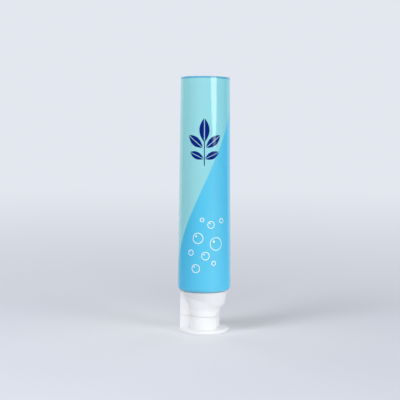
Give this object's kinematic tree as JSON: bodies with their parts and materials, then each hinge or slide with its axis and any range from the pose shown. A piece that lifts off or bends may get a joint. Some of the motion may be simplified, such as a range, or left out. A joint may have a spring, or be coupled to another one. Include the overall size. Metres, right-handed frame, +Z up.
{
  "type": "toothpaste tube",
  "caption": "Soft plastic toothpaste tube with an open filling end, standing on a white flip-top cap with a waist, a thumb recess and a living hinge.",
  "frame": {"origin": "centre of the foot's underside, where the cap stands on a surface", "axes": "+Z up along the tube towards its open end, -X towards the cap's hinge, +X towards its thumb recess"},
  "size_m": [0.028, 0.0304, 0.134],
  "materials": {
    "printed_sleeve": "glossy varnished print in mint and sky blue on blue polyethylene",
    "head": "moulded white polyethylene",
    "white_cap": "moulded white polypropylene, satin gloss"
  },
  "bodies": {
    "tube": {"tube_sleeve": "printed_sleeve", "tube_head": "head"},
    "cap": {"cap_body": "white_cap", "hinge_web": "white_cap"},
    "lid": {"cap_lid": "white_cap"}
  },
  "joints": [
    {"name": "cap_unscrew", "type": "hinge", "parent": "tube", "child": "cap", "pos_m": [0, 0, 0.017], "axis": [0, 0, -1], "range_deg": [0, 540]},
    {"name": "lid_hinge", "type": "hinge", "parent": "cap", "child": "lid", "pos_m": [-0.0121, 0, 0.0084], "axis": [0, 1, 0], "range_deg": [0, 150], "deforming": ["hinge_web"]}
  ]
}
